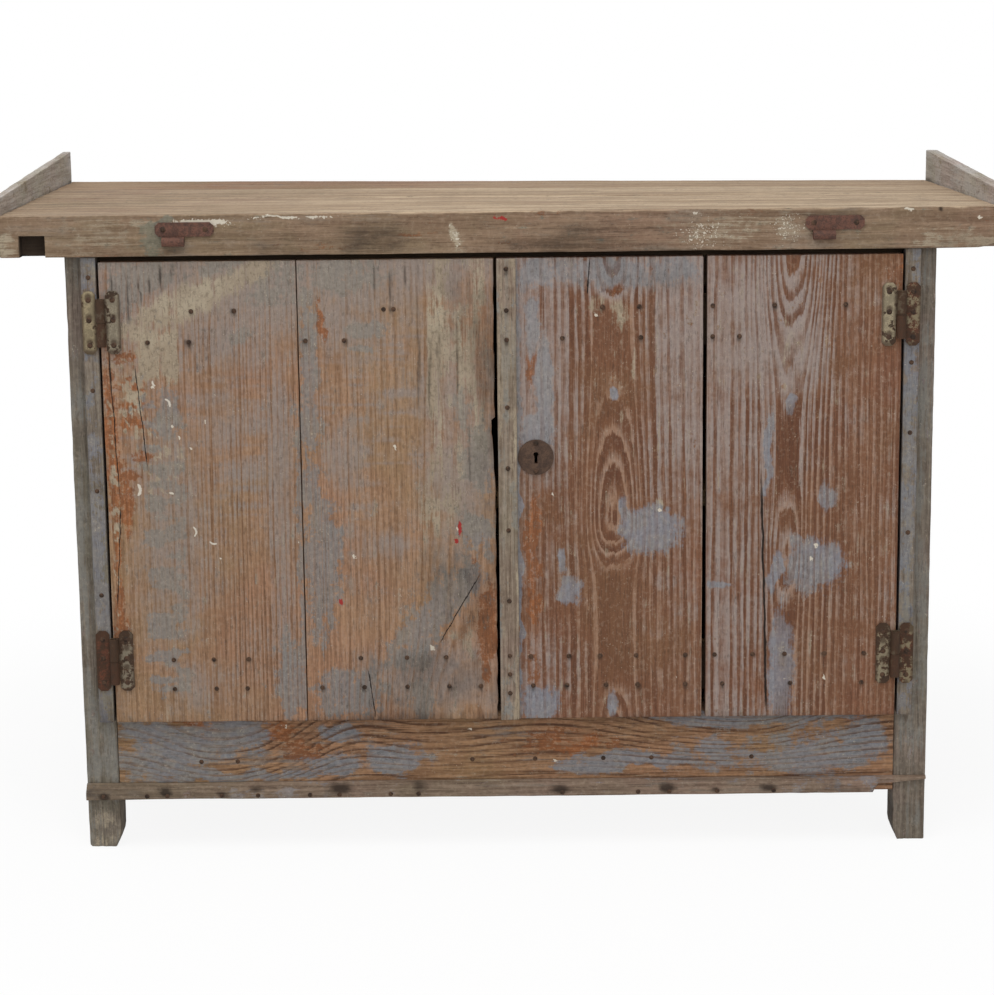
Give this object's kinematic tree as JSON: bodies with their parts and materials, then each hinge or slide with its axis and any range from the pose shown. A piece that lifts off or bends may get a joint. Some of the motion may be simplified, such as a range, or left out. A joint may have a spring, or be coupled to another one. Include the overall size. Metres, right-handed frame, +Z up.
{
  "type": "two-door cupboard",
  "caption": "Low wide rustic plank cupboard with ledged doors on lift-off hinges, a lock, a shelf and a thick overhanging top with raised tapered end boards.",
  "frame": {"origin": "on the floor under the middle of the whole", "axes": "X right, Y from front to back, Z up"},
  "size_m": [1.378, 0.6126, 0.947],
  "materials": {
    "top_wood": "worn pale pine",
    "end_wood": "grey weathered pine",
    "frame_wood": "grey weathered pine with worn paint",
    "door_wood": "worn grey-blue paint on pine",
    "inner_wood": "bare dry pine",
    "hinge_iron": "rusted iron with old cream paint",
    "dark_iron": "dark rusted iron",
    "nail_iron": "dull rusted iron"
  },
  "bodies": {
    "carcass": {"front_top_plank": "top_wood", "middle_top_plank": "top_wood", "rear_top_plank": "top_wood", "left_end_board": "end_wood", "right_end_board": "end_wood", "front_apron": "frame_wood", "base_strip": "frame_wood", "left_front_post": "frame_wood", "left_rear_post": "frame_wood", "left_hinge_batten": "frame_wood", "left_side_board_1": "frame_wood", "left_side_board_2": "frame_wood", "right_front_post": "frame_wood", "right_rear_post": "frame_wood", "right_hinge_batten": "frame_wood", "right_side_board_1": "frame_wood", "right_side_board_2": "frame_wood", "front_top_rail": "inner_wood", "rear_top_rail": "inner_wood", "front_floor_bearer": "inner_wood", "rear_floor_bearer": "inner_wood", "back_board_1": "inner_wood", "back_board_2": "inner_wood", "back_board_3": "inner_wood", "floor_board_1": "inner_wood", "floor_board_2": "inner_wood", "floor_board_3": "inner_wood", "shelf_board_1": "inner_wood", "shelf_board_2": "inner_wood", "left_side_top_rail": "inner_wood", "left_side_bottom_rail": "inner_wood", "left_shelf_cleat": "inner_wood", "right_side_top_rail": "inner_wood", "right_side_bottom_rail": "inner_wood", "right_shelf_cleat": "inner_wood", "frame_hinge_leaves": "hinge_iron", "flap_hinge_halves": "hinge_iron", "hinge_pins": "dark_iron", "carcass_nails": "nail_iron", "carcass_screws": "nail_iron"},
    "left_door": {"left_door_outer_board": "door_wood", "left_door_inner_board": "door_wood", "left_door_upper_ledge": "inner_wood", "left_door_lower_ledge": "inner_wood", "left_door_hinge_leaves": "hinge_iron", "left_door_nails": "nail_iron", "left_door_screws": "nail_iron", "left_door_bolt_plate": "dark_iron"},
    "right_door": {"right_door_inner_board": "door_wood", "right_door_outer_board": "door_wood", "meeting_strip": "door_wood", "right_door_upper_ledge": "inner_wood", "right_door_lower_ledge": "inner_wood", "right_door_hinge_leaves": "hinge_iron", "right_door_nails": "nail_iron", "right_door_screws": "nail_iron", "key_plate": "dark_iron", "lock_case": "dark_iron"},
    "lock_bolt": {"lock_bolt": "dark_iron"},
    "left_bolt": {"left_door_bolt": "dark_iron"}
  },
  "joints": [
    {"name": "left_door_hinge", "type": "hinge", "parent": "carcass", "child": "left_door", "pos_m": [-0.543, -0.29415, 0.513], "axis": [0, 0, -1], "range_deg": [0, 170]},
    {"name": "right_door_hinge", "type": "hinge", "parent": "carcass", "child": "right_door", "pos_m": [0.543, -0.29415, 0.513], "axis": [0, 0, 1], "range_deg": [0, 170]},
    {"name": "lock_bolt_slide", "type": "slide", "parent": "right_door", "child": "lock_bolt", "axis": [-1, 0, 0], "range_m": [0, 0.014]},
    {"name": "left_bolt_slide", "type": "slide", "parent": "left_door", "child": "left_bolt", "axis": [0, 0, 1], "range_m": [0, 0.015]}
  ]
}
